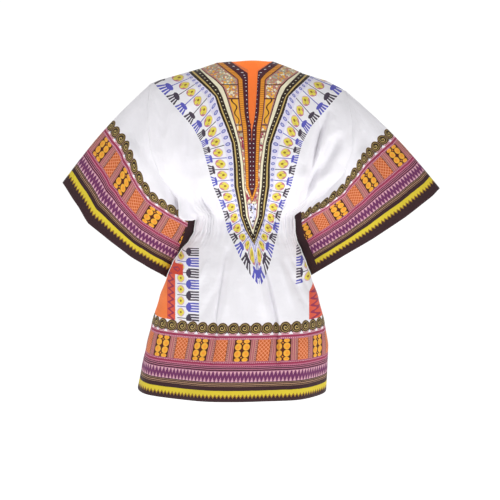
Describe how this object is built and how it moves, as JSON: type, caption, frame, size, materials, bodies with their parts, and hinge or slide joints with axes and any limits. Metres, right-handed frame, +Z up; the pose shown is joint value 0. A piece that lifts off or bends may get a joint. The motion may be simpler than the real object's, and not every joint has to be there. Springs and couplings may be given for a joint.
{
  "type": "dashiki shirt",
  "caption": "Hollow woman's dashiki top with a V neck and centre slit, wide short sleeves, a gathered waist and a bordered hem and cuffs.",
  "frame": {"origin": "between the two ends of the neckline, on the line of the shoulder seams, where the wearer's shoulders carry the shirt", "axes": "+Z up, -Y towards the front of the shirt, -X towards the wearer's right sleeve"},
  "size_m": [0.87, 0.2583, 0.7747],
  "materials": {
    "printed_cotton": "plain woven cotton, white with a printed border pattern, matt"
  },
  "bodies": {
    "root": {"front_panel": "printed_cotton", "back_panel": "printed_cotton", "sleeve_left": "printed_cotton", "sleeve_right": "printed_cotton"}
  },
  "joints": []
}
